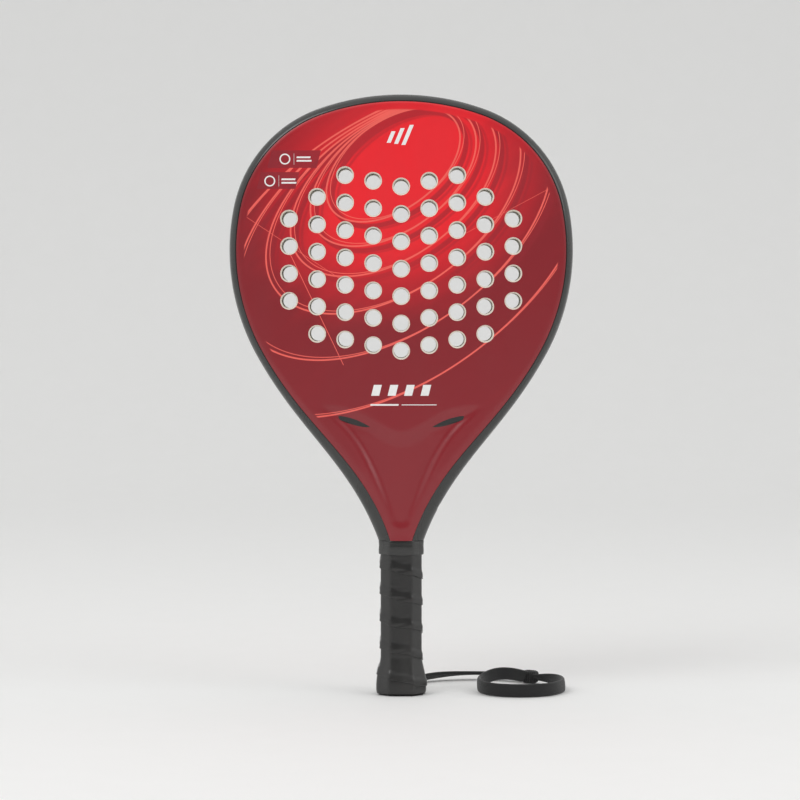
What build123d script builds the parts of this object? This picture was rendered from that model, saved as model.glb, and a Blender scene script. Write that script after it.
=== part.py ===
"""Padel racket standing on its butt, with a wrist strap lying on the floor beside it.

Millimetres. +X is across the face, +Y goes from the front face to the back face, +Z is up.
The origin is the centre of the butt's base. Each piece is one node, written to parts/NODE.step.
"""

import math
import os

from build123d import *

# ---- overall sizes ----
TOTAL_LENGTH = 455.0
HEAD_WIDTH = 259.5
THICKNESS = 38.0
HANDLE_LENGTH = 118.0  # floor to the top of the grip

# ---- head outline: three tangent arcs from the top, then one curve down to the handle ----
TOP_ARC = (186.5, 19.55)  # radius at the drawn width, sweep in degrees
SHOULDER_ARC = (99.1, 58.48)
SIDE_ARC = (163.7, 40.79)
DRAWN_WIDTH = 259.5
THROAT_PULL_UP = 0.405  # how long the throat curve holds the head's direction, of its chord
THROAT_PULL_DOWN = 0.381  # how long it holds the handle's direction, of its chord
THROAT_END_HEADING = 110.4  # degrees clockwise from +X

# ---- frame tube ----
TUBE_WIDTH = 13.0
TUBE_WALL = 1.8
EDGE_ROUND = 9.0
TUBE_FRONT_WALL = 2.4  # under the skins, in the head
THROAT_FRONT_WALL = 3.0  # under the recess, in the throat
VOID_STEP = 72.0  # above the grip, where the bladder space deepens
BLADDER_WALL = 0.5
NECK_RUN = 60.0  # length above the grip over which the racket thins

# ---- faces ----
SKIN = 1.2
FACE_INSET = 5.2  # from the outline to the skin's edge, round the head
FACE_END_HALF = 8.2  # skin's half width at the grip
FACE_END_HEADING = 108.0

# ---- holes ----
HOLE_RADIUS = 5.6
HOLE_BEVEL = 1.05
COLUMN_PITCH = 21.1
ROW_PITCH = 20.6
COLUMN_RISE = 4.26  # each column stands this much higher than its inner neighbour
TOP_HOLE_DROP = 69.6  # top of the head to the centre column's first hole
HOLE_ROWS = {0: (0, 7), 1: (0, 7), 2: (0, 7), 3: (1, 7), 4: (2, 6)}

# ---- throat: bridge, filler and the recess in both faces; heights are above the grip ----
RECESS_TOP = 80.0
RECESS_BOTTOM = 13.0
RECESS_WING = (49.0, 93.0)  # half width and height of its upper corners
RECESS_WAIST = (20.5, 50.0)
RECESS_TOE_HALF = 6.5
RECESS_DEPTH = 1.9
RECESS_WALL = 5.0
RECESS_TILT = 1.6  # degrees, follows the thinning neck
BRIDGE_RADIUS = 105.0
BRIDGE_WIDTH = 12.0
BRIDGE_SWEEP = 50.0  # degrees each side, out to the frame
BRIDGE_BASE = 78.0  # underside at the centre

# ---- handle ----
LEG_HALF_WIDTH = 10.8
LEG_HALF_DEPTH = 7.9
LEG_GAP_HALF = 2.5
LEG_WALL = 1.6
LEG_BOTTOM = 13.0
PALLET_COVER_X = 3.0
PALLET_COVER_Y = 4.3
PALLET_CORNER = 6.4  # corner cut of the bare octagon
UNDERLAY = 1.1  # the cap's sleeve is as thick, so the tape lies level over both
GRIP_TAPE = 1.5
FINISH_TAPE = 0.8
FINISH_TAPE_HEIGHT = 11.0

# ---- butt cap ----
CAP_SLEEVE_TOP = 34.0
CAP_RIM_TOP = 9.5  # the widest part ends here
CAP_FLARE_TOP = 29.0
CAP_FLARE = 3.4  # how far the rim stands out past the grip
CAP_FOOT_ROUND = 2.2
CAP_BASE = 1.5
CAP_WALL = 3.0
STAPLE_WIRE = 0.9
STAPLE_SPAN = 8.0
STAPLE_LEG = 3.4
STAPLE_HEIGHT = 24.0

# ---- neck: flush with the finishing tape ----
GRIP_LAYERS = UNDERLAY + GRIP_TAPE + FINISH_TAPE
NECK_HALF_WIDTH = LEG_HALF_WIDTH + PALLET_COVER_X + GRIP_LAYERS
NECK_HALF_DEPTH = LEG_HALF_DEPTH + PALLET_COVER_Y + GRIP_LAYERS

# ---- wrist strap ----
STRAP_WIDTH = 10.0
STRAP_THICK = 3.0
STRAP_LIFT = 1.8
SLOT_CLEARANCE = 0.25
TAPE_CLEARANCE = 0.35  # between the strap's slot and the grip tape's lower edge
KNOT_RADIUS = 7.5
KNOT_HEIGHT = 8.4
TIE_CENTRE = (101.0, 62.0)
TIE_SIZE = (12.0, 10.5, 10.6)  # along the strap, across it, height
TIE_TURN = -38.0  # degrees from +X
TIE_RUN = 14.0  # the strap and the loop run straight into the tie for this length
STRAP_POINTS = [(0, 40), (12, 65), (36, 80), (64, 83)]  # between the exit and the tie
LOOP_POINTS = [(125, 29), (124, 4), (112, -18), (90, -26), (69, -18), (58, 2), (60, 25), (73, 40)]


def heading(degrees):
    """Unit vector for a heading measured clockwise from +X."""
    return Vector(math.cos(math.radians(degrees)), -math.sin(math.radians(degrees)))


def half_outline(inset, end_half, end_heading=THROAT_END_HEADING):
    """Right half of the racket's outline, moved inwards, drawn in a plane of X and height."""
    scale = HEAD_WIDTH / DRAWN_WIDTH
    point, turn, edges = Vector(0, TOTAL_LENGTH - inset), 0.0, []
    for radius, sweep in (TOP_ARC, SHOULDER_ARC, SIDE_ARC):
        arc = JernArc(point, heading(turn), radius * scale - inset, -sweep)
        edges.append(arc.edge())
        point, turn = arc @ 1, turn + sweep
    end = Vector(end_half, HANDLE_LENGTH)
    chord = (end - point).length
    pull_up = point + heading(turn) * (THROAT_PULL_UP * chord)
    pull_down = end - heading(end_heading) * (THROAT_PULL_DOWN * chord)
    edges.append(Bezier(point, pull_up, pull_down, end).edge())
    return edges


def head_face(inset, end_half, end_heading=THROAT_END_HEADING):
    """Closed face of the head and throat, mirrored about the centre line."""
    right = half_outline(inset, end_half, end_heading)
    left = [edge.mirror(Plane.YZ) for edge in right]
    base = Line((-end_half, HANDLE_LENGTH), (end_half, HANDLE_LENGTH)).edge()
    return make_face(Wire(right + left + [base]).edges())


def slab(face, front, back):
    """Stand a face drawn in X and height upright, and give it depth from front to back."""
    upright = Plane(origin=(0, front, 0), x_dir=(1, 0, 0), z_dir=(0, -1, 0))
    return extrude(upright * face, amount=-(back - front))


def block(half_width, half_depth, low, high, x=0.0, y=0.0):
    """Upright box by half sizes and heights."""
    return Pos(x, y, (low + high) / 2) * Box(2 * half_width, 2 * half_depth, high - low)


def octagon(half_width, half_depth, cut, z):
    """Octagonal face of the handle at a height."""
    right = [
        (half_width - cut, -half_depth),
        (half_width, cut - half_depth),
        (half_width, half_depth - cut),
        (half_width - cut, half_depth),
    ]
    left = [(-x, y) for x, y in reversed(right)]
    return Pos(0, 0, z) * make_face(Polyline(*right, *left, close=True).edges())


def grip_octagon(layer, z):
    """The pallets' octagon grown outwards by a layer."""
    return octagon(
        LEG_HALF_WIDTH + PALLET_COVER_X + layer,
        LEG_HALF_DEPTH + PALLET_COVER_Y + layer,
        PALLET_CORNER + layer * (2 - math.sqrt(2)),
        z,
    )


def octagon_stack(levels):
    """Solid through octagons at rising heights: (height, layer) pairs, joined by flat facets."""
    solids = [
        loft([grip_octagon(layer, z), grip_octagon(next_layer, next_z)], ruled=True)
        for (z, layer), (next_z, next_layer) in zip(levels, levels[1:])
    ]
    whole = solids[0]
    for solid in solids[1:]:
        whole = whole + solid
    return whole


def cap_profile(layer, low, high):
    """Levels of the flared butt, from low to high, with a layer added outside."""
    flare = [
        (0.0, CAP_FLARE - CAP_FOOT_ROUND),
        (0.3 * CAP_FOOT_ROUND, CAP_FLARE - 0.45 * CAP_FOOT_ROUND),
        (CAP_FOOT_ROUND, CAP_FLARE - 0.1 * CAP_FOOT_ROUND),
        (CAP_RIM_TOP * 0.75, CAP_FLARE),
        (CAP_RIM_TOP, CAP_FLARE - 0.05),
        (CAP_RIM_TOP + 0.25 * (CAP_FLARE_TOP - CAP_RIM_TOP), 0.86 * CAP_FLARE),
        (CAP_RIM_TOP + 0.5 * (CAP_FLARE_TOP - CAP_RIM_TOP), 0.5 * CAP_FLARE),
        (CAP_RIM_TOP + 0.75 * (CAP_FLARE_TOP - CAP_RIM_TOP), 0.14 * CAP_FLARE),
        (CAP_FLARE_TOP, 0.0),
        (HANDLE_LENGTH, 0.0),
    ]

    def at(z):
        for (z0, r0), (z1, r1) in zip(flare, flare[1:]):
            if z0 <= z <= z1:
                return r0 + (r1 - r0) * (z - z0) / (z1 - z0)

    inner = [(z, r) for z, r in flare if low < z < high]
    levels = [(low, at(low))] + inner + [(high, at(high))]
    return [(z, UNDERLAY + r + layer) for z, r in levels]


# ---------------------------------------------------------------- racket body


def hole_centres():
    """Centres of the drilled holes, as (x, height)."""
    top = TOTAL_LENGTH - TOP_HOLE_DROP
    centres = []
    for column in range(-4, 5):
        first, last = HOLE_ROWS[abs(column)]
        for row in range(first, last):
            height = top + COLUMN_RISE * abs(column) - ROW_PITCH * row
            centres.append((COLUMN_PITCH * column, height))
    return centres


def neck_cutter():
    """Tool that thins the front of the throat towards the grip along a smooth S curve."""
    front, neck, top = -THICKNESS / 2, -NECK_HALF_DEPTH, HANDLE_LENGTH + NECK_RUN
    start, end = (front, top), (neck, HANDLE_LENGTH)
    hold, ease = (front, top - 0.5 * NECK_RUN), (neck, HANDLE_LENGTH + 0.35 * NECK_RUN)
    curve = Bezier(start, hold, ease, end)
    below, outside = HANDLE_LENGTH - 10, front - 5
    side = Polyline(end, (neck, below), (outside, below), (outside, top), start)
    face = make_face(Wire(curve.edges() + side.edges()).edges())
    across = Plane(origin=(-HEAD_WIDTH / 2, 0, 0), x_dir=(0, 1, 0), z_dir=(1, 0, 0))
    return extrude(across * face, amount=HEAD_WIDTH)


def recess_face(grow):
    """Shield-shaped outline of the throat recess, grown outwards by a distance."""
    base = HANDLE_LENGTH
    wing = (RECESS_WING[0] + 1.3 * grow, base + RECESS_WING[1] + 0.4 * grow)
    waist = (RECESS_WAIST[0] + 0.9 * grow, base + RECESS_WAIST[1])
    toe = (RECESS_TOE_HALF + 0.9 * grow, base + RECESS_BOTTOM + RECESS_TOE_HALF * 0.7)
    side = Spline(wing, waist, toe, tangents=((-0.75, -0.66), (-0.3, -0.95)))
    floor = ThreePointArc(toe, (0, base + RECESS_BOTTOM - grow), (-toe[0], toe[1]))
    other = side.edge().mirror(Plane.YZ)
    top = ThreePointArc(wing, (0, base + RECESS_TOP + grow), (-wing[0], wing[1]))
    return make_face(Wire([side.edge(), floor.edge(), other, top.edge()]).edges())


def recess_cutter():
    """Sloped-wall tool for the front recess: its floor is the small end, tilted with the neck."""
    floor_y = -THICKNESS / 2 + RECESS_DEPTH
    stand = RECESS_WALL  # the tool runs this far out past the face, at the same slope
    small = Plane(origin=(0, floor_y, 0), x_dir=(1, 0, 0), z_dir=(0, -1, 0)) * recess_face(0)
    rise = RECESS_DEPTH + stand
    grow = RECESS_WALL * rise / RECESS_DEPTH
    big = Plane(origin=(0, floor_y - rise, 0), x_dir=(1, 0, 0), z_dir=(0, -1, 0)) * recess_face(grow)
    tool = loft([small, big], ruled=True)
    hinge = Axis((0, floor_y, HANDLE_LENGTH + RECESS_TOP), (1, 0, 0))
    return tool.rotate(hinge, RECESS_TILT)


def rim_edges(solid, half_depth):
    """Edges round the front and back of an upright slab, without those on the grip."""
    edges = solid.edges().filter_by(lambda e: abs(abs(e.center().Y) - half_depth) < 0.01)
    return [e for e in edges if e.center().Z > HANDLE_LENGTH + 0.1]


def racket_blank():
    """Outer form of head and throat, solid, with rounded edges, thin neck and both recesses."""
    blank = slab(head_face(0, NECK_HALF_WIDTH), -THICKNESS / 2, THICKNESS / 2)
    blank = fillet(rim_edges(blank, THICKNESS / 2), EDGE_ROUND)
    for cutter in (neck_cutter(), recess_cutter()):
        blank = blank - cutter - cutter.mirror(Plane.XZ)
    return blank


def skin_zone(front, back):
    return slab(head_face(FACE_INSET, FACE_END_HALF, FACE_END_HEADING), front, back)


def bare_skin(blank):
    """Front skin before drilling: the outermost layer of the blank inside the skin's edge."""
    return (blank & skin_zone(-THICKNESS, 0)) - Pos(0, SKIN, 0) * blank


def drilled(skin):
    """Front skin with the holes and their bevelled mouths."""
    mouth = Pos(0, 0, -HOLE_BEVEL / 2) * Cone(HOLE_RADIUS, HOLE_RADIUS + HOLE_BEVEL, HOLE_BEVEL)
    for x, z in hole_centres():
        place = Pos(x, -THICKNESS / 2, z) * Rot(90, 0, 0)
        skin = skin - place * Cylinder(HOLE_RADIUS, 10 * SKIN) - place * mouth
    return skin


def inside_void(gap):
    """Bladder space in the frame tube and its two legs, shrunk all round by a gap."""
    outer = TUBE_WALL + gap
    inner = TUBE_WIDTH - TUBE_WALL - gap
    outside = head_face(outer, NECK_HALF_WIDTH - outer)
    inside = slab(head_face(inner, LEG_GAP_HALF + LEG_WALL + gap), -THICKNESS, THICKNESS)
    head_half = THICKNESS / 2 - SKIN - TUBE_FRONT_WALL - gap
    upper = slab(outside, -head_half, head_half)
    upper = fillet(rim_edges(upper, head_half), EDGE_ROUND - outer) - inside
    upper = upper & block(HEAD_WIDTH, THICKNESS, HANDLE_LENGTH + VOID_STEP + gap, TOTAL_LENGTH)
    throat_half = NECK_HALF_DEPTH - SKIN - RECESS_DEPTH - THROAT_FRONT_WALL - gap
    lower = slab(outside, -throat_half, throat_half) - inside
    lower = lower & block(HEAD_WIDTH, THICKNESS, HANDLE_LENGTH, TOTAL_LENGTH / 2)
    void = upper + lower
    bore_half = (LEG_HALF_WIDTH - LEG_GAP_HALF) / 2 - LEG_WALL - gap
    bore_x = (LEG_HALF_WIDTH + LEG_GAP_HALF) / 2
    bore_depth = LEG_HALF_DEPTH - LEG_WALL - gap
    for side in (-1, 1):
        top = HANDLE_LENGTH + 1
        void = void + block(bore_half, bore_depth, LEG_BOTTOM + LEG_WALL + gap, top, side * bore_x)
    return void


def core_zone():
    """Everything inside the frame ring: the head's inside, down to the gap between the legs."""
    return slab(head_face(TUBE_WIDTH, LEG_GAP_HALF), -THICKNESS, THICKNESS)


def bridge_zone(offset):
    """All above an arc that opens upwards, raised by an offset: splits the inside at the bridge."""
    centre = HANDLE_LENGTH + BRIDGE_BASE + offset + BRIDGE_RADIUS
    arc_end = centre - BRIDGE_RADIUS * math.cos(math.radians(BRIDGE_SWEEP))
    above = Pos(0, arc_end + TOTAL_LENGTH / 2) * Rectangle(2 * HEAD_WIDTH, TOTAL_LENGTH)
    return slab(Pos(0, centre) * Circle(BRIDGE_RADIUS) + above, -THICKNESS, THICKNESS)


def build_body():
    """Frame tube, bladder, core, bridge, filler and both skins."""
    blank = racket_blank()
    skin = bare_skin(blank)
    skins = (skin, skin.mirror(Plane.XZ))
    inner = core_zone()
    frame, middle = blank - inner, blank & inner
    for layer in skins:
        frame, middle = frame - layer, middle - layer
    front = drilled(skin)
    for side in (-1, 1):
        leg_x = side * (LEG_HALF_WIDTH + LEG_GAP_HALF) / 2
        half = (LEG_HALF_WIDTH - LEG_GAP_HALF) / 2
        frame = frame + block(half, LEG_HALF_DEPTH, LEG_BOTTOM, HANDLE_LENGTH, leg_x)
    frame = frame - inside_void(0)
    bladder = inside_void(0) - inside_void(BLADDER_WALL)
    above_bridge = bridge_zone(BRIDGE_WIDTH)
    above_filler = bridge_zone(0)
    core = middle & above_bridge
    for x, z in hole_centres():
        core = core - Pos(x, 0, z) * Rot(90, 0, 0) * Cylinder(HOLE_RADIUS, 2 * THICKNESS)
    return {
        "frame_tube": frame,
        "frame_bladder": bladder,
        "eva_core": core,
        "throat_bridge": (middle & above_filler) - above_bridge,
        "throat_filler": middle - above_filler,
        "front_face": front,
        "back_face": front.mirror(Plane.XZ),
    }


# ---------------------------------------------------------------- handle


def build_handle():
    """Foam strip, pallets, cap, staples, underlay and tapes."""
    leg_block = block(LEG_HALF_WIDTH, LEG_HALF_DEPTH, LEG_BOTTOM, HANDLE_LENGTH)
    core_strip = block(LEG_GAP_HALF, LEG_HALF_DEPTH, LEG_BOTTOM, HANDLE_LENGTH)
    pallets = octagon_stack([(LEG_BOTTOM, 0), (HANDLE_LENGTH, 0)]) - leg_block
    staples = staple_pair()
    front_pallet = split(pallets, Plane.XZ, keep=Keep.TOP) - staples
    back_pallet = split(pallets, Plane.XZ, keep=Keep.BOTTOM) - staples
    if front_pallet.center().Y > back_pallet.center().Y:
        front_pallet, back_pallet = back_pallet, front_pallet

    flare = octagon_stack(cap_profile(0, 0, CAP_FLARE_TOP))
    sleeve = octagon_stack([(CAP_FLARE_TOP, UNDERLAY), (CAP_SLEEVE_TOP, UNDERLAY)])
    socket = octagon_stack([(LEG_BOTTOM, 0), (CAP_SLEEVE_TOP, 0)])
    pocket = octagon_stack([(CAP_BASE, CAP_FLARE - CAP_WALL), (LEG_BOTTOM, 0)])
    cap = flare + sleeve - socket - pocket - strap_slot() - staples

    underlay = octagon_stack([(CAP_SLEEVE_TOP, UNDERLAY), (HANDLE_LENGTH, UNDERLAY)])
    underlay = underlay - octagon_stack([(CAP_SLEEVE_TOP, 0), (HANDLE_LENGTH, 0)])

    tape_low = STRAP_LIFT + STRAP_THICK + SLOT_CLEARANCE + TAPE_CLEARANCE
    tape = octagon_stack(cap_profile(GRIP_TAPE, tape_low, HANDLE_LENGTH))
    tape = tape - octagon_stack(cap_profile(0, tape_low, HANDLE_LENGTH)) - staples
    layer = UNDERLAY + GRIP_TAPE
    low = HANDLE_LENGTH - FINISH_TAPE_HEIGHT
    finish = octagon_stack([(low, layer + FINISH_TAPE), (HANDLE_LENGTH, layer + FINISH_TAPE)])
    finish = finish - octagon_stack([(low, layer), (HANDLE_LENGTH, layer)])
    return {
        "handle_core": core_strip,
        "handle_pallet_front": front_pallet,
        "handle_pallet_back": back_pallet,
        "butt_cap": cap,
        "butt_cap_staples": staples,
        "grip_underlay": underlay,
        "grip_tape": tape,
        "finishing_tape": finish,
    }


def staple_pair():
    """One staple through each side of the cap's sleeve into the pallets."""
    outside = LEG_HALF_WIDTH + PALLET_COVER_X + UNDERLAY
    both = None
    for side in (-1, 1):
        crown = block(STAPLE_WIRE / 2, STAPLE_SPAN / 2, 0, STAPLE_WIRE)
        piece = Pos(side * (outside - STAPLE_WIRE / 2), 0, STAPLE_HEIGHT) * crown
        for end in (-1, 1):
            leg = block(STAPLE_LEG / 2, STAPLE_WIRE / 2, 0, STAPLE_WIRE)
            x = side * (outside - STAPLE_LEG / 2)
            y = end * (STAPLE_SPAN - STAPLE_WIRE) / 2
            piece = piece + Pos(x, y, STAPLE_HEIGHT) * leg
        both = piece if both is None else both + piece
    return both


# ---------------------------------------------------------------- wrist strap


def strap_exit():
    """Outer face of the cap's rear wall, where the strap comes out."""
    return LEG_HALF_DEPTH + PALLET_COVER_Y + UNDERLAY + CAP_FLARE


def strap_slot():
    """Slot through the cap's rear wall."""
    half = STRAP_WIDTH / 2 + SLOT_CLEARANCE
    low, high = STRAP_LIFT - SLOT_CLEARANCE, STRAP_LIFT + STRAP_THICK + SLOT_CLEARANCE
    depth = CAP_WALL + 4
    return block(half, depth / 2, low, high, 0, strap_exit() + 1 - depth / 2)


def corner_radii(points):
    """Radius of each corner's arc: 0.45 of the shorter run over the tangent of half the turn."""
    radii = []
    for a, b, c in zip(points, points[1:], points[2:]):
        before, after = b - a, c - b
        turn = before.get_angle(after)
        shorter = min(before.length, after.length)
        radii.append(0.45 * shorter / math.tan(math.radians(turn / 2)))
    return radii


def band(points, width, height, low):
    """Flat strap along a route on the floor: width across the route, height upwards."""
    radii = corner_radii(points)
    path = Pos(0, 0, low + height / 2) * FilletPolyline(*points, radius=radii)
    ahead = path % 0
    section = Plane(origin=path @ 0, x_dir=Vector(-ahead.Y, ahead.X), z_dir=ahead)
    solid = sweep(section * Rectangle(width, height), path=path)
    expected = width * height * path.length
    print("strap run", round(path.length, 1), "mm, corner radii", [round(r, 1) for r in radii])
    print("  volume over section times length", round(solid.volume / expected, 4))
    return solid


def build_strap():
    """Knot inside the cap, flat strap to the tie, tie, and the loop standing on its edge."""
    exit_y = strap_exit()
    centre = Vector(*TIE_CENTRE)
    along = Vector(math.cos(math.radians(TIE_TURN)), math.sin(math.radians(TIE_TURN)))
    across = along.rotate(Axis.Z, 90)
    length, width, height = TIE_SIZE
    tie = Pos(*TIE_CENTRE, height / 2) * Rot(0, 0, TIE_TURN) * Box(*TIE_SIZE)

    def run_in(direction, reach):
        """The point on the tie's face in a direction, and the point a straight run away from it."""
        return [centre + direction * reach, centre + direction * (reach + TIE_RUN)]

    strap_end, before = run_in(-along, length / 2)
    loop_start, after = run_in(along, length / 2)
    loop_end, last = run_in(-across, width / 2)
    flat = [Vector(0, exit_y), *map(Vector, STRAP_POINTS), before, strap_end]
    ring = [loop_start, after, *map(Vector, LOOP_POINTS), last, loop_end]
    strap = band(flat, STRAP_WIDTH, STRAP_THICK, STRAP_LIFT)
    loop = band(ring, STRAP_THICK, STRAP_WIDTH, 0.2)
    knot = Cylinder(KNOT_RADIUS, KNOT_HEIGHT)
    knot = fillet(knot.edges().filter_by(GeomType.CIRCLE), 0.45 * KNOT_HEIGHT)
    knot = Pos(0, 0, CAP_BASE + KNOT_HEIGHT / 2) * knot
    tail = block(STRAP_WIDTH / 2, exit_y / 2, STRAP_LIFT, STRAP_LIFT + STRAP_THICK, 0, exit_y / 2)
    return {
        "strap_anchor_knot": knot + tail,
        "wrist_strap": strap,
        "strap_loop": loop,
        "strap_tie": tie,
    }


def main():
    os.makedirs("parts", exist_ok=True)
    nodes = {**build_body(), **build_handle(), **build_strap()}
    for name, shape in nodes.items():
        export_step(shape, f"parts/{name}.step")
        print(name, round(shape.volume, 1))


main()
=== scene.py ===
import math

import bpy
import numpy as np
from bpy.props import FloatProperty, FloatVectorProperty, IntProperty, PointerProperty
from mathutils.geometry import delaunay_2d_cdt
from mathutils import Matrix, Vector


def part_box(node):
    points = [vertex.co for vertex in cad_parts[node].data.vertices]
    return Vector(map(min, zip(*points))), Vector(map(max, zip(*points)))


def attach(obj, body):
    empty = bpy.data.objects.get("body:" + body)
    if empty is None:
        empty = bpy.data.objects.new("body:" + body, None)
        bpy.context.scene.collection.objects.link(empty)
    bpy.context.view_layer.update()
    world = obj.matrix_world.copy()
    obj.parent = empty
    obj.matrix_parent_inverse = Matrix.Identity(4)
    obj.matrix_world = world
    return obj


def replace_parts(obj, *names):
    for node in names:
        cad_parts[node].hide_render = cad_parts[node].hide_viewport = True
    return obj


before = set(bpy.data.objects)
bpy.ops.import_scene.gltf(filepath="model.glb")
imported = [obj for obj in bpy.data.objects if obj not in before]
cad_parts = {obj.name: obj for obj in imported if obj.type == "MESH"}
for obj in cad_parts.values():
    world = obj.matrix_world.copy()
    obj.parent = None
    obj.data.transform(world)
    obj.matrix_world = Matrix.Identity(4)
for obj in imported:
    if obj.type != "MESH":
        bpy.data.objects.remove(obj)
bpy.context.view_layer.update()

bl_info = {
    "name": "Padel racket",
    "version": (1, 0, 0),
    "blender": (4, 5, 0),
    "location": "3D View > Sidebar > Racket",
    "description": "Builds a drilled padel racket with a wrapped grip and a wrist strap",
    "category": "Add Mesh",
}

MM = 0.001

# ---- places taken from the frame ----
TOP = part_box("frame_tube")[1].z
HALF_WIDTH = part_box("frame_tube")[1].x
HALF_DEPTH = -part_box("front_face")[0].y
GRIP_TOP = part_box("finishing_tape")[1].z
GRIP_LAYER_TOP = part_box("finishing_tape")[0].z
NECK_HALF_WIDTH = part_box("finishing_tape")[1].x
NECK_HALF_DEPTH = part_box("finishing_tape")[1].y
TIE_LOW, TIE_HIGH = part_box("strap_tie")

# ---- outline of the head: radius and sweep of three tangent arcs, then one curve to the grip ----
ARCS = ((186.5 * MM, 19.55), (99.1 * MM, 58.48), (163.7 * MM, 40.79))
THROAT_PULLS = (0.405, 0.381)
THROAT_HEADING = 110.4
SKIN_HEADING = 108.0
SKIN_INSET = 5.2 * MM
SKIN_END_HALF = 8.2 * MM
NECK_TOP = GRIP_TOP + 60 * MM

# ---- handle: distances of the octagon's sides from its axis, bare ----
SIDE_X = 13.8 * MM
SIDE_Y = 12.2 * MM
SIDE_DIAGONAL = 13.86 * MM
UNDERLAY = 1.1 * MM

# ---- wrist strap route, as in the CAD: x, y, height of the band's centre ----
STRAP_ROUTE = [
    (0, 9, 3.3), (0, 24, 3.3), (1, 40, 3.3), (12, 64, 3.6), (36, 80, 5.2), (64, 83, 5.6), (85, 75, 5.0),
    (97, 66, 4.9), (105.5, 58.5, 5.0), (117, 49, 5.2), (125, 29, 5.3), (124, 4, 5.3), (112, -18, 5.3),
    (90, -25.5, 5.3), (69, -18, 5.3), (58.5, 2, 5.5), (61, 25, 7.0), (73, 40, 10.4), (87, 47, 9.6),
    (96, 56, 6.0),
]
# share of the route, and the band's roll there: 0 is flat, 90 stands on its edge
STRAP_ROLL = (
    (0, 0), (0.10, 12), (0.17, 38), (0.27, 8), (0.38, 0), (0.43, 30), (0.50, 84), (0.90, 92), (1, 60),
)


# ================================================================ settings


def distance(label, text, default):
    return FloatProperty(name=label, description=text, default=default, unit="LENGTH", precision=5)


def colour(label, text, default):
    return FloatVectorProperty(
        name=label, description=text, default=default, subtype="COLOR", size=3, min=0, max=1
    )


class RACKET_PG_body(bpy.types.PropertyGroup):
    edge_round: distance("Edge rounding", "Depth of the frame's rounded shoulder", 9 * MM)
    edge_wide: distance("Shoulder width", "Width of the rounded shoulder round the head", 9 * MM)
    throat_wide: distance("Throat shoulder", "Extra width of the shoulder in the throat", 5 * MM)
    groove: distance("Groove", "Gap between the frame and a face's edge", 0.4 * MM)
    skin: distance("Skin", "Thickness of a face", 1.2 * MM)
    tube: distance("Tube", "Width of the frame's tube", 13 * MM)
    recess: distance("Recess", "Half thickness left at the top of the throat recess", 17.1 * MM)
    recess_wall: distance("Recess wall", "Width of the recess's sloping wall", 6 * MM)
    frame_colour: colour("Frame", "Lacquer of the frame", (0.011, 0.0115, 0.0105))


class RACKET_PG_face(bpy.types.PropertyGroup):
    hole_radius: distance("Hole", "Radius of a drilled hole", 5.6 * MM)
    hole_bevel: distance("Bevel", "Width of a hole's bevelled mouth", 1.05 * MM)
    column_pitch: distance("Columns", "Distance between columns of holes", 21.1 * MM)
    row_pitch: distance("Rows", "Distance between holes in a column", 20.6 * MM)
    column_rise: distance("Rise", "How much higher each column stands than the one inside it", 4.26 * MM)
    top_drop: distance("Top hole", "Top of the head to the centre column's first hole", 69.6 * MM)
    rings: IntProperty(name="Rings", description="Printed pairs of ellipses", default=6, min=1, max=8)
    ring_first: distance("First ring", "Long half axis of the innermost ellipse", 57 * MM)
    ring_growth: FloatProperty(name="Growth", description="Size of each ellipse to the last", default=1.24)
    ring_flat: FloatProperty(name="Flatness", description="Short axis to long axis", default=0.58)
    ring_tilt: FloatProperty(
        name="Tilt", description="Turn of the ellipses", default=math.radians(35.5), subtype="ANGLE"
    )
    bright: colour("Bright red", "Print inside the innermost ellipse", (0.93, 0.012, 0.022))
    deep: colour("Deep red", "Print at the edges and the throat", (0.255, 0.0075, 0.015))
    line: colour("Line", "Printed lines", (1.0, 0.145, 0.115))
    mark: colour("Mark", "Printed marks", (0.93, 0.93, 0.92))


class RACKET_PG_grip(bpy.types.PropertyGroup):
    pitch: distance("Pitch", "Height gained by each turn of tape", 20.5 * MM)
    overlap: distance("Overlap", "How far a turn lies over the last", 6.5 * MM)
    thickness: distance("Tape", "Thickness of the tape", 0.75 * MM)
    flare: distance("Flare", "How far the butt stands out past the grip", 3.4 * MM)
    flare_low: distance("Widest", "Height of the butt's widest part", 7 * MM)
    flare_top: distance("Flare top", "Height where the flare ends", 29 * MM)
    start: distance("Start", "Height of the first seam at the front", 6 * MM)


class RACKET_PG_strap(bpy.types.PropertyGroup):
    width: distance("Width", "Width of the strap", 10 * MM)
    thickness: distance("Thickness", "Thickness of the strap", 3 * MM)
    ribs: IntProperty(name="Ribs", description="Lengthwise ribs across the strap", default=5, min=1, max=12)
    rib_depth: distance("Rib depth", "Height of a rib", 0.3 * MM)


class RACKET_PG_stage(bpy.types.PropertyGroup):
    eye_distance: distance("Eye distance", "Camera to the racket", 2.2)
    eye_height: distance("Eye height", "Camera above the floor", 0.294)
    lens: FloatProperty(name="Lens", description="Focal length in millimetres", default=130.3)
    tilt: FloatProperty(
        name="Tilt", description="Camera's downward tilt", default=math.radians(1.82), subtype="ANGLE"
    )
    key: FloatProperty(name="Key", description="Power of the main light in watts", default=16)
    fill: FloatProperty(name="Surround", description="Strength of the white surround", default=0.86)


# ================================================================ shapes


def smooth(low, high, value):
    """Eased step: 0 below low, 1 above high, and 3t^2 - 2t^3 between."""
    t = np.clip((value - low) / (high - low), 0, 1)
    return t * t * (3 - 2 * t)


def bezier(points, count):
    """Cubic curve: four points weighted by (1-t)^3, 3t(1-t)^2, 3t^2(1-t) and t^3."""
    t = np.linspace(0, 1, count)[:, None]
    a, b, c, d = (np.array(p, float) for p in points)
    return a * (1 - t) ** 3 + 3 * b * t * (1 - t) ** 2 + 3 * c * t * t * (1 - t) + d * t**3


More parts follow.
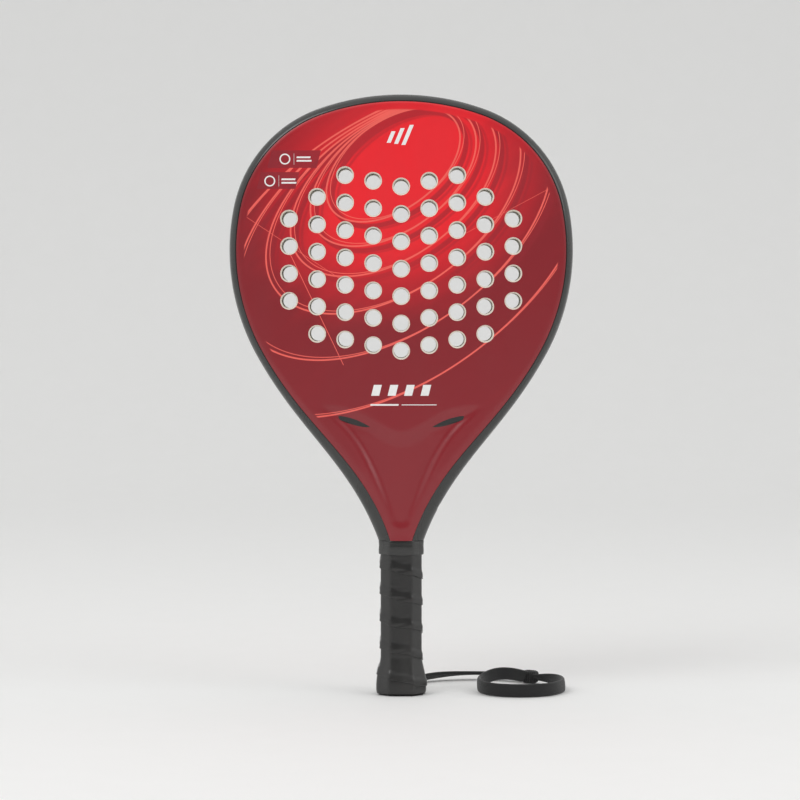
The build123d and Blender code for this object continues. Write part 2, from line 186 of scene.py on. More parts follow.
def half_outline(inset, end_half, end_heading):
    """Right half of the outline, top to grip: arcs of centre + r (sin h, cos h), then a cubic curve."""
    point = np.array([0.0, TOP - inset])
    turn = 0.0
    parts = []
    for radius, sweep in ARCS:
        reach = radius - inset
        start = np.array([math.sin(math.radians(turn)), math.cos(math.radians(turn))])
        angle = np.radians(turn + np.linspace(0, sweep, 400))
        arc = point - reach * start + reach * np.column_stack([np.sin(angle), np.cos(angle)])
        parts.append(arc[:-1])
        point = arc[-1]
        turn += sweep
    end = np.array([end_half, GRIP_TOP])
    chord = np.linalg.norm(end - point)
    turns = (math.radians(turn), math.radians(end_heading))
    ahead, down = (np.array([math.cos(angle), -math.sin(angle)]) for angle in turns)
    pulls = (point + ahead * THROAT_PULLS[0] * chord, end - down * THROAT_PULLS[1] * chord)
    parts.append(bezier((point, *pulls, end), 900))
    return np.vstack(parts)


def spaced(line, step):
    """The same line with points a step apart, along its length."""
    along = np.concatenate([[0], np.cumsum(np.linalg.norm(np.diff(line, axis=0), axis=1))])
    at = np.linspace(0, along[-1], max(2, int(round(along[-1] / step)) + 1))
    return np.column_stack([np.interp(at, along, line[:, k]) for k in range(line.shape[1])])


def mirrored(half):
    """Left end to top to right end, from the right half that runs from the top down."""
    return np.vstack([half[:0:-1] * [-1, 1], half])


def inward(line):
    """Unit normals on the right-hand side of a line that runs from left to right over the top."""
    ahead = np.gradient(line, axis=0)
    ahead /= np.linalg.norm(ahead, axis=1)[:, None]
    return np.column_stack([ahead[:, 1], -ahead[:, 0]])


def nearest(points, line):
    """Distance from each point to the closest point of a finely divided line."""
    found = [
        np.sqrt(((part[:, None] - line[None]) ** 2).sum(2)).min(1)
        for part in np.array_split(points, max(1, len(points) * len(line) // 2_000_000))
    ]
    return np.concatenate(found)


def inside(points, ring):
    """True where a ray to the right of a point crosses the closed ring an odd number of times."""
    a, b = ring, np.roll(ring, -1, axis=0)
    x, z = points[:, :1], points[:, 1:]
    crosses = (a[:, 1] > z) != (b[:, 1] > z)
    slope = (b[:, 0] - a[:, 0]) / np.where(b[:, 1] == a[:, 1], 1e-12, b[:, 1] - a[:, 1])
    return (crosses & (x < a[:, 0] + slope * (z - a[:, 1]))).sum(1) % 2 == 1


OUTLINE = mirrored(half_outline(0, NECK_HALF_WIDTH, THROAT_HEADING))
NECK_CURVE = bezier(
    ((HALF_DEPTH, NECK_TOP), (HALF_DEPTH, NECK_TOP - 30 * MM), (NECK_HALF_DEPTH, GRIP_TOP + 21 * MM),
     (NECK_HALF_DEPTH, GRIP_TOP)),
    200,
)[::-1]


def half_depth(z):
    """Half thickness at a height: full in the head, then an S curve down to the grip's depth."""
    return np.interp(z, NECK_CURVE[:, 1], NECK_CURVE[:, 0])


def shoulder_width(z):
    """Width of the rounded shoulder: as set in the head, wider in the throat."""
    body = bpy.context.scene.racket_body
    return body.edge_wide + body.throat_wide * smooth(GRIP_TOP + 150 * MM, GRIP_TOP + 40 * MM, z)


def shoulder_drop(inset, z):
    """Fall of the surface near the edge: a quarter ellipse, depth (1 - sqrt(1 - t^2))."""
    wide = shoulder_width(z)
    t = np.clip((wide - inset) / wide, 0, 1)
    return bpy.context.scene.racket_body.edge_round * (1 - np.sqrt(1 - t * t))


def recess_drop(x, z):
    """Fall of the throat's panel: a tilted plane below the plain surface, faded over its walls."""
    body = bpy.context.scene.racket_body
    wing, toe = (49 * MM, GRIP_TOP + 93 * MM), (6.5 * MM, GRIP_TOP + 16.5 * MM)
    side = bezier((wing, (26.5 * MM, GRIP_TOP + 73 * MM), (20.5 * MM, GRIP_TOP + 52 * MM), toe), 160)
    above = np.array(wing) + np.array([[7.5, 6.6]]) * 2 * MM
    turn = np.linspace(0, math.pi / 2, 30)[1:, None]
    floor = np.array([0, toe[1]]) + np.hstack([toe[0] * np.cos(turn), -5 * MM * np.sin(turn)])
    half = np.vstack([above, side, floor])
    ring = np.vstack([half, half[-2::-1] * [-1, 1]])
    line = spaced(ring, 0.5 * MM)
    points = np.column_stack([x, z])
    gap = nearest(points, line) * np.where(inside(points, ring), 1, -1)
    crest = GRIP_TOP + (79 + 20 * (1 - np.exp(-((x / (27 * MM)) ** 2)))) * MM
    mask = smooth(-0.5 * body.recess_wall, 0.5 * body.recess_wall, gap) * smooth(5 * MM, -9 * MM, z - crest)
    floor_half = body.recess - np.clip(GRIP_TOP + 80 * MM - z, 0, 1) * math.tan(math.radians(1.6))
    return np.clip(half_depth(z) - floor_half, 0, 1) * mask


def surface_at(x, z, inset):
    """Distance of the racket's surface from its middle plane."""
    return half_depth(z) - shoulder_drop(inset, z) - recess_drop(x, z)


def hole_centres():
    """Nine columns of holes, each a step higher than its inner neighbour."""
    face = bpy.context.scene.racket_face
    rows = {0: (0, 7), 1: (0, 7), 2: (0, 7), 3: (1, 7), 4: (2, 6)}
    centres = []
    for column in range(-4, 5):
        low = TOP - face.top_drop + face.column_rise * abs(column)
        heights = low - face.row_pitch * np.arange(*rows[abs(column)])
        centres.append(np.column_stack([np.full(len(heights), column * face.column_pitch), heights]))
    return np.vstack(centres)


# ================================================================ meshes


def add_object(name, points, faces, materials):
    """Object at the origin from an array of points and a list of faces, all shaded smooth."""
    mesh = bpy.data.meshes.new(name)
    mesh.from_pydata(points.reshape(-1, 3).tolist(), [], faces)
    mesh.shade_smooth()
    for material in materials:
        mesh.materials.append(material)
    piece = bpy.data.objects.new(name, mesh)
    bpy.context.scene.collection.objects.link(piece)
    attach(piece, "root")
    return piece


def volume_sign(points, quads):
    """Sign of the summed tetrahedra under a grid's faces: positive when they point outwards."""
    a, b, c, d = (points[quads[:, k]] for k in range(4))
    return np.sign((np.cross(a, b) * c + np.cross(a, c) * d).sum())


def grid_piece(name, rows, materials, u=None, v=None, loop=False, sharp=35):
    """Closed piece from a grid: each row is a closed section. Its ends are capped unless it loops.

    The faces are turned outwards, and u along the rows and v round them become a UV map."""
    count, across = rows.shape[:2]
    i, j = np.meshgrid(np.arange(count if loop else count - 1), np.arange(across), indexing="ij")
    i1, j1 = (i + 1) % count, (j + 1) % across
    quads = np.stack([i * across + j, i * across + j1, i1 * across + j1, i1 * across + j], -1).reshape(-1, 4)
    points = rows.reshape(-1, 3)
    centred = points - points.mean(0)
    caps = [] if loop else [np.arange(across)[::-1], (count - 1) * across + np.arange(across)]
    u = np.arange(count + 1) if u is None else u
    v = np.arange(across + 1) if v is None else v
    corner_u = np.stack([u[i], u[i], u[i + 1], u[i + 1]], -1).reshape(-1, 4)
    corner_v = np.stack([v[j], v[j + 1], v[j + 1], v[j]], -1).reshape(-1, 4)
    if volume_sign(centred, quads) < 0:
        quads, corner_u, corner_v = quads[:, ::-1], corner_u[:, ::-1], corner_v[:, ::-1]
        caps = [cap[::-1] for cap in caps]
    piece = add_object(name, rows, quads.tolist() + [cap.tolist() for cap in caps], materials)
    uv = np.zeros((len(piece.data.loops), 2), np.float32)
    uv[: quads.size] = np.column_stack([corner_u.ravel(), corner_v.ravel()])
    piece.data.uv_layers.new(name="UVMap").data.foreach_set("uv", uv.ravel())
    piece.data.set_sharp_from_angle(angle=math.radians(sharp))
    return piece


def lengths(points):
    """Length along a line of points, starting from nothing."""
    return np.concatenate([[0], np.cumsum(np.linalg.norm(np.diff(points, axis=0), axis=1))])


def build_face(name, side, materials):
    """Drilled skin of one side, closed: a triangulated height field, its back, and their walls.

    The plan is the skin's outline less the holes. Depth is surface_at() in front, and that less
    the skin's thickness behind. side is -1 for the front and 1 for the back."""
    body, face = bpy.context.scene.racket_body, bpy.context.scene.racket_face
    half = half_outline(SKIN_INSET + body.groove, SKIN_END_HALF, SKIN_HEADING)
    edge = spaced(mirrored(half), 1.6 * MM)
    normals = inward(edge)
    base = spaced(np.array([edge[-1], edge[0]]), 1.4 * MM)[1:-1]
    ring = np.vstack([edge, base])
    low = GRIP_TOP + 0.7 * MM
    bands = [edge + normals * step * MM for step in (0.5, 1.3, 2.3, 3.5, 4.9, 6.5)]
    bands = [band[(band[:, 1] > low) & (nearest(band, edge) > 0.45 * MM)] for band in bands]
    centres = hole_centres()
    turn = np.linspace(0, 2 * math.pi, 40, endpoint=False)
    circle = np.column_stack([np.cos(turn), np.sin(turn)])
    mouth_radius = face.hole_radius + face.hole_bevel
    mouths = centres[:, None] + circle * mouth_radius
    collars = (centres[:, None] + circle * (mouth_radius + 0.45 * MM)).reshape(-1, 2)

    def honeycomb(step, bottom, top):
        """Points of a triangular grid between two heights."""
        x = np.arange(-HALF_WIDTH, HALF_WIDTH, step)
        z = np.arange(bottom, top, step * 0.866)
        gx, gz = np.meshgrid(x, z)
        gx = gx + (np.arange(len(z)) % 2)[:, None] * step / 2
        return np.column_stack([gx.ravel(), gz.ravel()])

    recess_top = GRIP_TOP + 108 * MM
    inner = np.vstack([honeycomb(1.5 * MM, low, recess_top), honeycomb(3.4 * MM, recess_top, TOP)])
    inner = inner[inside(inner, ring)]
    inner = inner[nearest(inner, edge) > 7.4 * MM]
    inner = inner[nearest(inner, centres) > mouth_radius + 1.3 * MM]
    plan = np.vstack([ring, mouths.reshape(-1, 2), *bands, collars, inner])
    count = len(ring)
    edges = np.column_stack([np.arange(count), (np.arange(count) + 1) % count])
    links = count + np.arange(len(centres) * 40).reshape(-1, 40)
    edges = np.vstack([edges, np.column_stack([links.ravel(), np.roll(links, -1, axis=1).ravel()])])
    flat, _, faces, *_ = delaunay_2d_cdt((plan * 1000).tolist(), edges.tolist(), [], 0, 1e-5, False)
    flat = np.array(flat) / 1000
    faces = np.array(faces)
    middle = flat[faces].mean(1)
    faces = faces[inside(middle, ring) & (nearest(middle, centres) > mouth_radius * 0.999)]
    a, b, c = (flat[faces[:, k]] for k in range(3))
    area = (b[:, 0] - a[:, 0]) * (c[:, 1] - a[:, 1]) - (b[:, 1] - a[:, 1]) * (c[:, 0] - a[:, 0])
    faces = np.where((area < 0)[:, None], faces[:, ::-1], faces)

    x, z = flat.T
    inset = nearest(flat, spaced(OUTLINE, 0.15 * MM))
    depth = surface_at(x, z, inset)
    on_mouth = nearest(flat, centres) < mouth_radius * 1.0005
    on_edge = nearest(flat, spaced(ring[: len(edge)], 0.2 * MM)) < 0.02 * MM
    depth = depth - on_edge * 0.3 * MM
    nearest_hole = centres[((flat[:, None] - centres[None]) ** 2).sum(2).argmin(1)]
    bore = np.where(
        on_mouth[:, None], nearest_hole + (flat - nearest_hole) * face.hole_radius / mouth_radius, flat
    )
    total = len(flat)
    layers = [
        (flat, depth),
        (bore, depth - face.hole_bevel),
        (bore, depth - body.skin),
    ]
    points = np.vstack([np.column_stack([p[:, 0], side * d, p[:, 1]]) for p, d in layers])
    sides = np.vstack([faces[:, [0, 1]], faces[:, [1, 2]], faces[:, [2, 0]]])
    keys = {(p, q) for p, q in sides.tolist()}
    rim = np.array([(p, q) for p, q in keys if (q, p) not in keys])
    rim = rim[np.lexsort((rim[:, 1], rim[:, 0]))]
    hole_rim = rim[on_mouth[rim].all(1)]
    outer_rim = rim[~on_mouth[rim].all(1)]

    def wall(pairs, upper, lower):
        p, q = pairs.T
        return np.column_stack([q + upper, p + upper, p + lower, q + lower]).tolist()

    back = (faces[:, ::-1] + 2 * total).tolist()
    bevel = wall(hole_rim, 0, total) + wall(hole_rim, total, 2 * total)
    polygons = faces.tolist() + back + wall(outer_rim, 0, 2 * total) + bevel
    if side > 0:
        polygons = [polygon[::-1] for polygon in polygons]
    used, index = np.unique(np.concatenate([np.ravel(p) for p in polygons]), return_inverse=True)
    sizes = np.cumsum([0] + [len(p) for p in polygons])
    polygons = [index[s:e].tolist() for s, e in zip(sizes, sizes[1:])]
    piece = add_object(name, points[used], polygons, materials)
    material = np.zeros(len(polygons), np.int32)
    material[-len(bevel):] = 1
    piece.data.polygons.foreach_set("material_index", material)
    attribute = piece.data.attributes.new("inset", "FLOAT", "POINT")
    attribute.data.foreach_set("value", np.tile(inset, 3)[used].astype(np.float32))
    piece.data.set_sharp_from_angle(angle=math.radians(38))
    return piece


def build_frame(material):
    """Frame tube: one closed section carried round the outline from one side of the grip to the other.

    The section runs over the front shoulder, a quarter ellipse, down the side, over the back
    shoulder, and back along the inside. Its inward direction turns level at the grip."""
    body = bpy.context.scene.racket_body
    line = spaced(OUTLINE, 1.9 * MM)
    normals = inward(line)
    ahead = np.column_stack([-normals[:, 1], normals[:, 0]])
    level = -normals[:, 1] / np.where(abs(ahead[:, 1]) < 0.2, 1, ahead[:, 1])
    level = level * smooth(GRIP_TOP + 24 * MM, GRIP_TOP, line[:, 1])
    normals = normals + ahead * level[:, None]
    z = line[:, 1]
    skin_edge = spaced(mirrored(half_outline(SKIN_INSET, SKIN_END_HALF, SKIN_HEADING)), 0.2 * MM)
    lip = nearest(line, skin_edge)
    at_grip = smooth(GRIP_TOP + 12 * MM, GRIP_TOP, z)
    lip = lip * (1 - at_grip) + (NECK_HALF_WIDTH - SKIN_END_HALF) / np.linalg.norm(normals, axis=1) * at_grip
    full, wide = half_depth(z), shoulder_width(z)

    def at(inset):
        return full - shoulder_drop(inset, z)

    under = at(lip) - body.skin
    front = [(lip, under), (lip, at(lip) - 0.45 * MM), (lip - 0.15 * MM, at(lip - 0.15 * MM) - 0.12 * MM)]
    lip_turn = np.arccos(np.clip(1 - (lip - 0.5 * MM) / wide, 0, 1))
    for share in np.linspace(0, 1, 12):
        inset = wide * (1 - np.cos(lip_turn * (1 - share)))
        front.append((inset, at(inset)))
    flank = full - body.edge_round
    profile = front + [(0 * z, flank * k) for k in (0.75, 0.5, 0.25, 0)]
    profile = profile + [(inset, -depth) for inset, depth in profile[-2::-1]]
    deep = np.maximum(body.tube + 0 * z, lip + 2 * MM)
    profile += [(deep, -under), (deep, 0 * z), (deep, under)]
    rows = np.stack(
        [
            np.column_stack([line[:, 0] + normals[:, 0] * d, -y, np.maximum(z + normals[:, 1] * d, GRIP_TOP)])
            for d, y in profile
        ],
        axis=1,
    )
    v = lengths(rows[len(rows) // 2])
    v = np.append(v, v[-1] + 12 * MM)
    return grid_piece("frame_shell", rows, [material], lengths(line), v, sharp=30)


def octagon_reach(angle, layer):
    """Distance from the axis to a rounded octagon: the soft maximum of its side lines.

    Each side line gives cos(angle - its own angle) / (its distance + layer). Their sum at a
    high power, rooted, is the reach's inverse, so a low power rounds the corners more."""
    power = 34
    total = 0
    for degrees, reach in zip(range(0, 360, 45), (SIDE_X, SIDE_DIAGONAL, SIDE_Y, SIDE_DIAGONAL) * 2):
        total = total + np.clip(np.cos(angle - math.radians(degrees)) / (reach + layer), 0, None) ** power
    return total ** (-1 / power)


def flare_at(z):
    """How far the butt stands out at a height: a raised cosine above its widest part, round below."""
    grip = bpy.context.scene.racket_grip
    t = np.clip((z - grip.flare_low) / (grip.flare_top - grip.flare_low), 0, 1)
    above = (0.5 + 0.5 * np.cos(math.pi * t)) ** 0.75
    foot = np.clip(1 - z / (3.2 * MM), 0, 1) ** 2
    return grip.flare * above - 2.3 * MM * foot


def around_axis(angle, layer, z):
    """Points of the rounded octagon at an angle, with a layer on it, at a height."""
    reach = octagon_reach(angle, layer)
    return np.stack([reach * np.cos(angle), reach * np.sin(angle), z], axis=-1)


def build_grip(material):
    """Grip tape: a flat section wound down the octagon as a helix, height = start + pitch turns.

    Each turn's lower edge lies over the turn below, so the tape stands out by two thicknesses
    there and eases back to one. Heights are held between the butt's edge and the finishing tape."""
    grip = bpy.context.scene.racket_grip
    width = grip.pitch + grip.overlap
    turns = (GRIP_TOP - grip.start) / grip.pitch + 1.6
    angle = np.linspace(0, 2 * math.pi * turns, int(turns * 132))
    share = np.concatenate([
        np.linspace(0, 0.012, 4), np.linspace(0.03, 0.97, 26), np.linspace(0.988, 1, 4)
    ])
    rounding = 0.5 * grip.thickness * (1 - np.sqrt(np.clip(1 - np.clip(1 - share / 0.012, 0, 1) ** 2, 0, 1)))
    rounding += 0.5 * grip.thickness * (
        1 - np.sqrt(np.clip(1 - np.clip(1 - (1 - share) / 0.012, 0, 1) ** 2, 0, 1))
    )
    lay = smooth(grip.overlap * 1.15, grip.overlap * 0.55, share * width)
    base = UNDERLAY + 0.02 * MM
    outer = base + grip.thickness * (1 + lay) - rounding
    inner = base + grip.thickness * lay + rounding
    section_share = np.concatenate([share, share[::-1]])
    section_layer = np.concatenate([outer, inner[::-1]])
    first = grip.start + grip.pitch * (-0.75)
    raw = first - grip.pitch * 0.25 + grip.pitch * angle[:, None] / (2 * math.pi) + section_share * width
    sway = 0.5 * MM * np.sin(2.3 * angle[:, None] + 0.7) + 0.35 * MM * np.sin(5.1 * angle[:, None])
    raw = raw + sway
    facing = -angle[:, None]
    rear = np.cos(facing - math.pi / 2)
    foot = 1.2 * MM + 5.0 * MM * smooth(0.80, 0.93, rear)
    soft = 1.2 * MM
    z = foot + soft * np.logaddexp(0, (raw - foot) / soft)
    ceiling = GRIP_TOP - 1.2 * MM
    z = ceiling - soft * np.logaddexp(0, (ceiling - z) / soft)
    ruck = 0.10 * MM * np.sin(9 * angle[:, None] + 40 * section_share) * smooth(0.5, 0, section_share)
    fold = grip.thickness * smooth(5 * MM, 0.8 * MM, z)
    layer = section_layer - fold * (section_layer - base) / (2 * grip.thickness) + flare_at(z) + ruck
    rows = around_axis(np.broadcast_to(facing, z.shape), layer, z)
    u = lengths(rows[:, 0])
    v = np.append(section_share * width, 0)
    return grid_piece("grip_wrap", rows, [material], u, v, sharp=50)


def build_finishing_tape(material):
    """Band of tape round the grip's top: its layer grows a little over the turn, then steps back."""
    turn = np.linspace(0, 2 * math.pi, 220, endpoint=False)
    end = math.radians(-38)
    wound = ((turn - end) / (2 * math.pi)) % 1
    step = smooth(0, 0.010, wound) - wound * 0.55
    low = GRIP_LAYER_TOP + 0.35 * MM * np.sin(turn * 2 + 1) + 0.15 * MM * np.sin(turn * 5)
    share = np.array([0, 0.02, 0.05, 0.2, 0.35, 0.5, 0.65, 0.8, 0.95, 0.98, 1.0])
    edge = 0.45 * MM * (1 - np.minimum(1, np.minimum(share, 1 - share) / 0.05)) ** 2
    inner_share = share[::-1]
    z = low[:, None] + (GRIP_TOP - low[:, None]) * np.concatenate([share, inner_share])
    outer_layer = 3.1 * MM + 0.28 * MM * step[:, None] - edge
    outer_layer = outer_layer + 0.12 * MM * np.sin(share * 9 + 3 * np.sin(turn[:, None]))
    inner_layer = np.full((len(turn), len(share)), 2.2 * MM)
    layer = np.hstack([outer_layer, inner_layer])
    rows = around_axis(np.broadcast_to(turn[:, None], z.shape), layer, z)
    u = np.append(lengths(rows[:, 0]), 0.12)
    v = np.append(z[0], z[0, 0])
    return grid_piece("finishing_band", rows, [material], u, v, loop=True, sharp=50)


def build_cap(material):
    """Butt cap: rounded octagons stacked up the flare, closed flat at the base and the top."""
    turn = np.linspace(0, 2 * math.pi, 160, endpoint=False)
    z = np.concatenate([[0, 0], np.linspace(0.15, 3, 9), np.linspace(4, 33, 22), [34]]) * MM
    inset = np.concatenate([[4, 0.6], np.zeros(31), [0.4]]) * MM
    layer = (UNDERLAY + flare_at(z) - inset)[:, None] + 0 * turn
    rows = around_axis(np.broadcast_to(turn, layer.shape), layer, np.broadcast_to(z[:, None], layer.shape))
    return grid_piece("butt_cap_shell", rows, [material], lengths(rows[:, 0]), sharp=40)


def route_line(route):
    """Points of the smooth line that the route's control points give."""
    data = bpy.data.curves.new("strap_route", "CURVE")
    data.dimensions = "3D"
    data.resolution_u = 20
    spline = data.splines.new("NURBS")
    spline.points.add(len(route) - 1)
    controls = np.column_stack([np.array(route) * MM, np.ones(len(route))])
    spline.points.foreach_set("co", controls.ravel())
    spline.order_u = 3
    spline.use_endpoint_u = True
    guide = bpy.data.objects.new("strap_route", data)
    mesh = bpy.data.meshes.new_from_object(guide)
    line = np.empty(3 * len(mesh.vertices), np.float32)
    mesh.vertices.foreach_get("co", line)
    bpy.data.objects.remove(guide)
    bpy.data.curves.remove(data)
    bpy.data.meshes.remove(mesh)
    return line.reshape(-1, 3).astype(float)


def build_strap(material, line):
    """Strap: a ribbed flat section carried along the route, turned about it by the roll.

    Across is flat at no roll and upright at 90 degrees. The section is a rounded oblong whose
    long sides wave with the ribs, fading at the edges."""
    strap = bpy.context.scene.racket_strap
    ahead = np.gradient(line, axis=0)
    ahead /= np.linalg.norm(ahead, axis=1)[:, None]
    level = np.cross(ahead, [0, 0, 1])
    level /= np.linalg.norm(level, axis=1)[:, None]
    upright = np.cross(level, ahead)
    along = lengths(line)
    shares, rolls = np.array(STRAP_ROLL, float).T
    roll = np.interp(along / along[-1], shares, rolls)
    kernel = np.hanning(31)
    roll = np.convolve(np.pad(roll, 15, mode="edge"), kernel / kernel.sum(), "valid")
    roll = np.radians(roll)[:, None]
    across = level * np.cos(roll) + upright * np.sin(roll)
    normal = np.cross(across, ahead)
    turn = np.linspace(0, 2 * math.pi, 72, endpoint=False)
    power = 0.42
    wide = np.sign(np.cos(turn)) * abs(np.cos(turn)) ** power
    thick = np.sign(np.sin(turn)) * abs(np.sin(turn)) ** 0.72
    rib = np.abs(np.cos(wide * strap.ribs * math.pi / 2)) ** 0.8 * (1 - wide**6)
    height = (strap.thickness / 2 - strap.rib_depth * (1 - rib)) * thick
    rows = (
        line[:, None]
        + across[:, None] * (wide * strap.width / 2)[None, :, None]
        + normal[:, None] * height[None, :, None]
    )
    v = lengths(np.column_stack([wide * strap.width / 2, height]))
    v = np.append(v, v[-1] + 0.3 * MM)
    return grid_piece("wrist_strap_band", rows, [material], along, v, sharp=60)


def build_winding(name, centre, degrees, half_sizes, turns, material):
    """Wound binding: an oblong barrel along a level direction, ridged by the turns of its thread.

    Its sections are superellipses whose size is (1 - |s|^4)^(1/4) at share s of the half
    length, times 1 + a small |cos| of the turns."""
    s = np.sin(np.linspace(-math.pi / 2, math.pi / 2, 110)) * 0.9985
    turn = np.linspace(0, 2 * math.pi, 56, endpoint=False)
    size = (1 - abs(s) ** 5) ** 0.25
    lean = 0.06 * np.sin(turn)
    thread = abs(np.cos((s[:, None] + lean) * turns * math.pi / 2)) ** 0.7
    ridge = 1 - 0.075 * (1 - thread) * smooth(1, 0.8, abs(s))[:, None]
    long, wide, tall = half_sizes
    y = np.sign(np.cos(turn)) * abs(np.cos(turn)) ** 0.62 * wide
    z = np.sign(np.sin(turn)) * abs(np.sin(turn)) ** 0.62 * tall
    x = np.broadcast_to((s * long)[:, None], (len(s), len(turn)))
    local = np.stack([x, y * size[:, None] * ridge, z * size[:, None] * ridge], -1)
    c, w = math.cos(math.radians(degrees)), math.sin(math.radians(degrees))
    rows = local @ np.array([[c, w, 0], [-w, c, 0], [0, 0, 1]]) + np.array(centre)
    return grid_piece(name, rows, [material], lengths(rows[:, 0]), sharp=60)


# ================================================================ shader tools


class Tree:
    """Short ways to add nodes to a material or a group and wire them."""

    def __init__(self, tree):
        self.nodes, self.links = tree.nodes, tree.links

    def add(self, kind, inputs=None, **settings):
        node = self.nodes.new(kind)
        for key, value in settings.items():
            setattr(node, key, value)
        for key, value in (inputs or {}).items():
            self.put(node.inputs[key], value)
        return node

    def put(self, socket, value):
        if isinstance(value, bpy.types.NodeSocket):
            self.links.new(value, socket)
        else:
            socket.default_value = value

    def maths(self, operation, *values, clamp=False):
        inputs = dict(enumerate(values))
        return self.add("ShaderNodeMath", inputs, operation=operation, use_clamp=clamp).outputs[0]

    def vector(self, operation, *values):
        node = self.add("ShaderNodeVectorMath", dict(enumerate(values)), operation=operation)
        return node.outputs["Value" if operation in ("LENGTH", "DOT_PRODUCT") else "Vector"]

    def fade(self, value, low, high, start=0.0, end=1.0):
        inputs = {"Value": value, "From Min": low, "From Max": high, "To Min": start, "To Max": end}
        return self.add("ShaderNodeMapRange", inputs, interpolation_type="SMOOTHSTEP").outputs["Result"]

    def mix(self, factor, a, b, blend="MIX"):
        node = self.add("ShaderNodeMix", data_type="RGBA", blend_type=blend)
        for index, value in ((0, factor), (6, a), (7, b)):
            if isinstance(value, tuple) and len(value) == 3:
                value = (*value, 1)
            self.put(node.inputs[index], value)
        return node.outputs[2]

    def noise(self, place, scale, detail=2.0, roughness=0.5):
        inputs = {"Vector": place, "Scale": scale, "Detail": detail, "Roughness": roughness}
        return self.add("ShaderNodeTexNoise", inputs).outputs["Fac"]


def new_group(name, inputs, outputs):
    """Empty node group with named sockets. Returns it with its wiring helper, input and output."""
    group = bpy.data.node_groups.new(name, "ShaderNodeTree")
    for label, kind in inputs:
        group.interface.new_socket(name=label, in_out="INPUT", socket_type=kind)
    for label, kind in outputs:
        group.interface.new_socket(name=label, in_out="OUTPUT", socket_type=kind)
    tree = Tree(group)
    entry = tree.add("NodeGroupInput")
    leave = tree.add("NodeGroupOutput")
    return group, tree, entry.outputs, leave.inputs


def use_group(tree, group, **inputs):
    node = tree.add("ShaderNodeGroup", node_tree=group)
    for key, value in inputs.items():
        tree.put(node.inputs[key.replace("_", " ")], value)
    return node.outputs


VECTOR, FLOAT, COLOUR = "NodeSocketVector", "NodeSocketFloat", "NodeSocketColor"


def ellipse_group():
    """Line along an ellipse: |r - 1| r / |gradient| is the distance from it, near enough."""
    group, tree, inputs, outputs = new_group(
        "ellipse_line", [("Place", VECTOR), ("Centre", VECTOR), ("Inverse", VECTOR), ("Half", FLOAT),
                         ("Soft", FLOAT)], [("Mask", FLOAT)]
    )
    here = tree.vector("SUBTRACT", inputs["Place"], inputs["Centre"])
    unit = tree.vector("MULTIPLY", here, inputs["Inverse"])
    reach = tree.vector("LENGTH", unit)
    steep = tree.vector("LENGTH", tree.vector("MULTIPLY", unit, inputs["Inverse"]))
    off = tree.maths("ABSOLUTE", tree.maths("SUBTRACT", reach, 1.0))
    gap = tree.maths("DIVIDE", tree.maths("MULTIPLY", off, reach), steep)
    over = tree.maths("SUBTRACT", gap, inputs["Half"])
    share = tree.maths("DIVIDE", over, inputs["Soft"])
    tree.put(outputs["Mask"], tree.fade(share, -1.0, 1.0, 1.0, 0.0))
    return group


def bar_group():
    """Leaning bar: its mask is 1 where both distances from its centre lines are under its halves."""
    group, tree, inputs, outputs = new_group(
        "leaning_bar", [("Place", VECTOR), ("Centre", VECTOR), ("Half", VECTOR), ("Lean", FLOAT)],
        [("Mask", FLOAT)]
    )
    here = tree.add("ShaderNodeSeparateXYZ", {0: tree.vector("SUBTRACT", inputs["Place"], inputs["Centre"])})
    half = tree.add("ShaderNodeSeparateXYZ", {0: inputs["Half"]})
    slid = tree.maths("SUBTRACT", here.outputs[0], tree.maths("MULTIPLY", here.outputs[1], inputs["Lean"]))
    masks = []
    for value, limit in ((slid, half.outputs[0]), (here.outputs[1], half.outputs[1])):
        over = tree.maths("SUBTRACT", tree.maths("ABSOLUTE", value), limit)
        masks.append(tree.fade(over, -0.1 * MM, 0.1 * MM, 1.0, 0.0))
    tree.put(outputs["Mask"], tree.maths("MULTIPLY", *masks))
    return group


def wear_group():
    """Fine dust and handling marks: noise at two scales, for roughness and a little colour."""
    group, tree, inputs, outputs = new_group(
        "handling", [("Place", VECTOR), ("Amount", FLOAT)], [("Mask", FLOAT), ("Height", FLOAT)]
    )
    smear = tree.noise(tree.vector("MULTIPLY", inputs["Place"], (40, 40, 14)), 1.0, 3.0)
    grain = tree.noise(inputs["Place"], 2600.0, 2.0)
    mask = tree.fade(smear, 0.35, 0.75)
    tree.put(outputs["Mask"], tree.maths("MULTIPLY", mask, inputs["Amount"]))
    tree.put(outputs["Height"], grain)
    return group


def weave_group():
    """Plain weave: two crossed waves, each riding over the other in turn."""
    group, tree, inputs, outputs = new_group(
        "weave", [("Place", VECTOR), ("Across", FLOAT), ("Along", FLOAT)],
        [("Height", FLOAT), ("Mask", FLOAT)]
    )
    part = tree.add("ShaderNodeSeparateXYZ", {0: inputs["Place"]})
    warp = tree.maths("SINE", tree.maths("MULTIPLY", part.outputs[0], inputs["Across"]))
    weft = tree.maths("SINE", tree.maths("MULTIPLY", part.outputs[1], inputs["Along"]))
    cross = tree.maths("MULTIPLY", warp, weft)
    height = tree.fade(cross, -1.0, 1.0)
    tree.put(outputs["Height"], height)
    tree.put(outputs["Mask"], tree.maths("ABSOLUTE", cross))
    return group


def new_material(name, look=None, **values):
    """Material with a Principled shader whose plain values are set on its own sockets."""
    material = bpy.data.materials.new(name)
    material.use_nodes = True
    shader = material.node_tree.nodes["Principled BSDF"]
    for key, value in values.items():
        socket = shader.inputs[key.replace("_", " ")]
        socket.default_value = (*value, 1) if isinstance(value, tuple) and len(value) == 3 else value
    if look:
        material.diffuse_color = (*look, 1)
    return material, Tree(material.node_tree), shader


